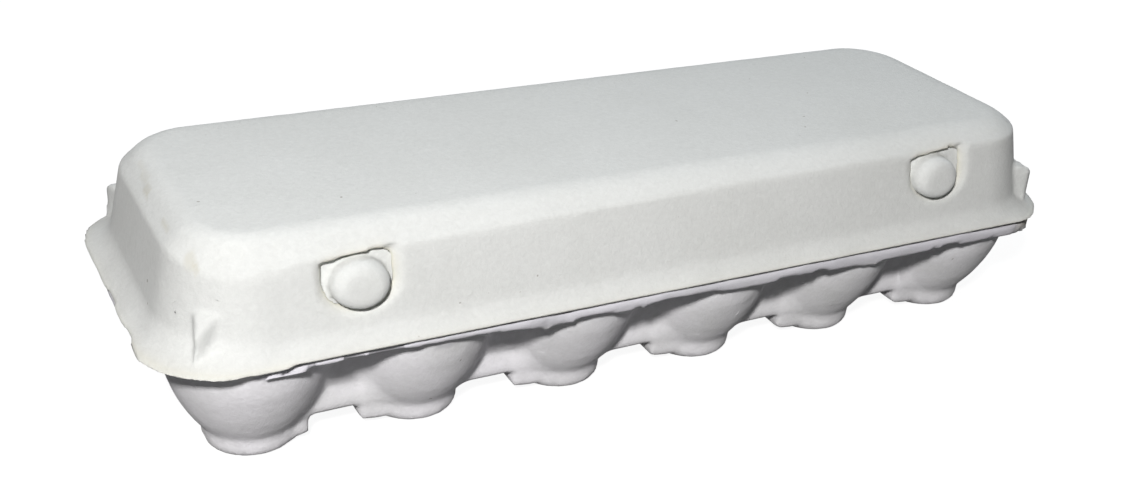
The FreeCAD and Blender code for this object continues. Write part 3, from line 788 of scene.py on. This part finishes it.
# ------------------------------------------------------------------ operators
class EGGBOX_OT_tray(Operator):
    """Mould the cup tray: twelve bowls on feet, valleys, hollow posts and the thin rim"""
    bl_idname = "eggbox.tray"
    bl_label = "Build Tray"

    def execute(self, context):
        tray, looks = context.scene.egg_tray, context.scene.egg_looks
        mesh = moulded_mesh("cup_tray", TRAY_LOW, TRAY_HIGH, looks.tray_cell,
                            lambda x, y, z: tray_field(x, y, z, tray, looks.seed))
        x, y, z = points_of(mesh)
        outline = rounded_rectangle(x, y, LID_HIGH.x, LID_HIGH.y, tray.rim_corner)
        rim_depth, rim_fade, corner_shade_reach = 6 * MM, 3 * MM, 14 * MM
        high = ease((z - PART_LEVEL + rim_depth) / rim_fade)
        folded = (y < LID_LOW.y + 4 * MM) & (np.abs(x) < LID_HIGH.x - 20 * MM)
        # painted shade on the tray: the rim's cut edge and the hanging front fold take the darker edge
        # tint, and the drooping front right corner takes an olive-brown tint where the flange's shadow
        # falls
        paint(mesh, edge=near(outline + tray.rim_inset, width=1.5 * MM) * high + folded * high,
              mark=ease(1.3 - from_drooping_corner(x, y) / corner_shade_reach) * high)
        # the tray's base colour is painted light, lighter than the lid's pulp
        material = pulp_material("moulded paper pulp, tray", looks.tray_colour, looks.tray_edge_shade_colour,
                                 looks, swells=1.5)
        piece = finished_piece("cup_tray", mesh, looks, material, fibres=110000)
        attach(piece, "tray")
        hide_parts("tray")
        return {"FINISHED"}


class EGGBOX_OT_lid(Operator):
    """Mould the lid: drafted cover, flared flange, corner lugs and the two lock holes"""
    bl_idname = "eggbox.lid"
    bl_label = "Build Lid"

    # scuffs on the left shoulder, in millimetres: how far in from the left end, how far back from
    # the middle, half length, size; and strength
    SCUFFS = ((15.4, 17.5, 3.2, 0.6, 0.25), (14.4, 10.5, 2.8, 0.6, 0.3), (13.4, 4.0, 2.0, 0.7, 0.5),
              (13.0, -18.7, 2.8, 0.6, 0.4), (15.0, -36.3, 0.8, 1.4, 0.4), (15.8, -38.4, 1.0, 0.6, 0.6))

    def execute(self, context):
        lid, lock = context.scene.egg_lid, context.scene.egg_lock
        looks = context.scene.egg_looks
        mesh = moulded_mesh("cover_lid", LID_LOW, LID_HIGH, looks.lid_cell,
                            lambda x, y, z: lid_field(x, y, z, lid, lock, looks.seed), thrift=0.01)
        x, y, z = points_of(mesh)
        round_hole = near(hole_plan(x, z, lid, lock), width=0.9 * MM) * (y < 0)
        round_flange = 0.5 * near(z - PART_LEVEL, width=0.8 * MM)
        marks = 0
        for inward, back, half, size, strength in self.SCUFFS:
            along = np.maximum(np.abs(y - back * MM) - half * MM, 0)
            away = np.hypot(along, x - LID_LOW.x - inward * MM)
            marks = np.maximum(marks, strength * ease(1.5 - away / (size * MM)))
        shoulder_depth, fade = 9 * MM, 2 * MM
        marks = marks * ease((z - LID_HIGH.z + shoulder_depth) / fade)
        paint(mesh, edge=np.maximum(round_flange, round_hole), mark=marks)
        material = pulp_material("moulded paper pulp, lid", looks.lid_colour, looks.edge_colour, looks)
        piece = finished_piece("cover_lid", mesh, looks, material, fibres=120000)
        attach(piece, "lid")
        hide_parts("lid")
        return {"FINISHED"}


class EGGBOX_OT_lock_flap(Operator):
    """Mould the lock flap: a leaning strip with two hollow domed buttons"""
    bl_idname = "eggbox.lock_flap"
    bl_label = "Build Lock Flap"

    def execute(self, context):
        lid, lock = context.scene.egg_lid, context.scene.egg_lock
        looks = context.scene.egg_looks
        mesh = moulded_mesh("button_flap", FLAP_LOW, FLAP_HIGH, looks.lid_cell,
                            lambda x, y, z: flap_field(x, y, z, lid, lock, looks.seed))
        paint(mesh, edge=0, mark=0)
        material = bpy.data.materials["moulded paper pulp, lid"]
        piece = finished_piece("button_flap", mesh, looks, material, fibres=120000)
        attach(piece, "tray")
        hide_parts("lock_flap")
        return {"FINISHED"}


class EGGBOX_OT_hinge_fold(Operator):
    """Mould the crease along the rear, which joins the tray's rim to the lid's flange"""
    bl_idname = "eggbox.hinge_fold"
    bl_label = "Build Hinge Fold"

    def execute(self, context):
        looks = context.scene.egg_looks
        half, room = CREASE_HALF + 1 * MM, 2 * MM
        low = (-half, HINGE.y - room, HINGE.z - room)
        high = (half, HINGE.y + room, HINGE.z + room)
        mesh = moulded_mesh("hinge_fold", low, high, cell=0.6 * MM,
                            field=lambda x, y, z: fold_field(x, y, z, looks.seed))
        # painted shade: the crease takes part of the tray's darker edge tint
        paint(mesh, edge=0.4, mark=0)
        material = bpy.data.materials["moulded paper pulp, tray"]
        piece = finished_piece("hinge_fold", mesh, looks, material, relief=0.1 * MM)
        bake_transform(piece)
        return {"FINISHED"}


def soft_box(name, place, aim, size, power, tint):
    """A square area light that looks from one point to another."""
    light = bpy.data.lights.new(name, "AREA")
    light.size = size
    light.energy = power
    light.color = tint
    lamp = linked(name, light)
    direction = Vector(aim) - Vector(place)
    lamp.matrix_world = Matrix.Translation(place) @ direction.to_track_quat("-Z", "Y").to_matrix().to_4x4()


def seen_directly(tree):
    """1 for what the camera, a mirror or glass sees, and 0 for light that falls on things."""
    path = add(tree, "ShaderNodeLightPath", {}, {}).outputs
    seen = add(tree, "ShaderNodeMath", {"operation": "MAXIMUM"},
               {0: path["Is Camera Ray"], 1: path["Is Glossy Ray"]}).outputs[0]
    return add(tree, "ShaderNodeMath", {"operation": "MAXIMUM"},
               {0: seen, 1: path["Is Transmission Ray"]}).outputs[0]


class EGGBOX_OT_stage(Operator):
    """Lay the pale floor, hang the soft lights and set up the camera"""
    bl_idname = "eggbox.stage"
    bl_label = "Build Stage"

    def execute(self, context):
        stage = context.scene.egg_stage
        self.lay_floor()
        self.fill_world(context, stage)
        for name in ("key", "top"):
            place, size, power, tint = (getattr(stage, f"{name}_{setting}")
                                        for setting in ("place", "size", "power", "tint"))
            soft_box(name + "_light", place, stage.aim, size, power, tint)
        self.place_camera(context, stage)
        context.scene.view_settings.view_transform = "Standard"
        return {"FINISHED"}

    def lay_floor(self):
        """Matt paper floor that keeps the shadow and is otherwise white to the camera."""
        half = 6.0  # metres, far past what the camera sees
        mesh = bpy.data.meshes.new("floor")
        corners = [(-half, -half, 0), (half, -half, 0), (half, half, 0), (-half, half, 0)]
        mesh.from_pydata(corners, [], [(0, 1, 2, 3)])
        floor = linked("floor", mesh)
        material = bpy.data.materials.new("matt white paper")
        tree = bare_tree(material)
        paper = add(tree, "ShaderNodeBsdfDiffuse", {}, {"Color": (0.14, 0.14, 0.14, 1)}).outputs[0]
        place = add(tree, "ShaderNodeTexCoord", {}, {}).outputs["Object"]
        away = add(tree, "ShaderNodeVectorMath", {"operation": "LENGTH"}, {0: place}).outputs["Value"]
        white = add(tree, "ShaderNodeMapRange", {},
                    {"Value": away, "From Min": 0.15, "From Max": 0.5, "To Min": 0.93,
                     "To Max": 1.0}).outputs[0]
        lift = add(tree, "ShaderNodeEmission", {}, {"Color": (1, 1, 1, 1), "Strength": white}).outputs[0]
        none = add(tree, "ShaderNodeEmission", {}, {"Strength": 0.0}).outputs[0]
        shown = add(tree, "ShaderNodeMixShader", {}, {0: seen_directly(tree), 1: none, 2: lift}).outputs[0]
        surface = add(tree, "ShaderNodeAddShader", {}, {0: paper, 1: shown}).outputs[0]
        add(tree, "ShaderNodeOutputMaterial", {}, {"Surface": surface})
        mesh.materials.append(material)

    def fill_world(self, context, stage):
        """Even light all round, which itself looks white."""
        world = bpy.data.worlds.new("studio")
        tree = bare_tree(world)
        even = add(tree, "ShaderNodeBackground", {},
                   {"Color": (0.94, 0.96, 1.0, 1), "Strength": stage.ambient}).outputs[0]
        white = add(tree, "ShaderNodeBackground", {},
                    {"Color": (1, 1, 1, 1), "Strength": 1.0}).outputs[0]
        mixed = add(tree, "ShaderNodeMixShader", {}, {0: seen_directly(tree), 1: even, 2: white})
        add(tree, "ShaderNodeOutputWorld", {}, {"Surface": mixed.outputs[0]})
        context.scene.world = world

    def place_camera(self, context, stage):
        data = bpy.data.cameras.new("camera")
        data.lens = stage.lens
        data.clip_start = 0.01
        camera = linked("camera", data)
        yaw, pitch = stage.yaw, stage.pitch
        ahead = Vector((math.sin(yaw) * math.cos(pitch), math.cos(yaw) * math.cos(pitch),
                        -math.sin(pitch)))
        right = Vector((math.cos(yaw), -math.sin(yaw), 0))
        axes = Matrix((right, right.cross(ahead), -ahead)).transposed().to_4x4()
        lean = Matrix.Rotation(stage.roll, 4, "Z")
        camera.matrix_world = Matrix.Translation(stage.camera_place) @ axes @ lean
        context.scene.camera = camera


# ------------------------------------------------------------------ panel and registration
class EGGBOX_PT_panel(Panel):
    bl_idname = "EGGBOX_PT_panel"
    bl_label = "Egg Box"
    bl_space_type = "VIEW_3D"
    bl_region_type = "UI"
    bl_category = "Egg Box"

    def draw(self, context):
        for pointer, (group, title, operators) in GROUPS.items():
            box = self.layout.box()
            box.label(text=title)
            for name in group.__annotations__:
                box.prop(getattr(context.scene, pointer), name)
            for operator in operators:
                box.operator(operator.bl_idname)


# where each settings group hangs on the scene, its title, and what is built with it
GROUPS = {
    "egg_tray": (TraySizes, "Tray", (EGGBOX_OT_tray,)),
    "egg_lid": (LidSizes, "Lid", (EGGBOX_OT_lid,)),
    "egg_lock": (LockSizes, "Locks", (EGGBOX_OT_lock_flap,)),
    "egg_looks": (PulpLooks, "Pulp", (EGGBOX_OT_hinge_fold,)),
    "egg_stage": (StageLooks, "Stage", (EGGBOX_OT_stage,)),
}
CLASSES = ([group for group, _, _ in GROUPS.values()]
           + [operator for _, _, operators in GROUPS.values() for operator in operators]
           + [EGGBOX_PT_panel])


def register():
    for cls in CLASSES:
        bpy.utils.register_class(cls)
    for pointer, (group, _, _) in GROUPS.items():
        setattr(bpy.types.Scene, pointer, PointerProperty(type=group))


def unregister():
    for pointer in GROUPS:
        delattr(bpy.types.Scene, pointer)
    for cls in reversed(CLASSES):
        bpy.utils.unregister_class(cls)


def main():
    register()
    bpy.ops.eggbox.stage()
    bpy.ops.eggbox.tray()
    bpy.ops.eggbox.lid()
    bpy.ops.eggbox.lock_flap()
    bpy.ops.eggbox.hinge_fold()


if __name__ == "__main__":
    main()
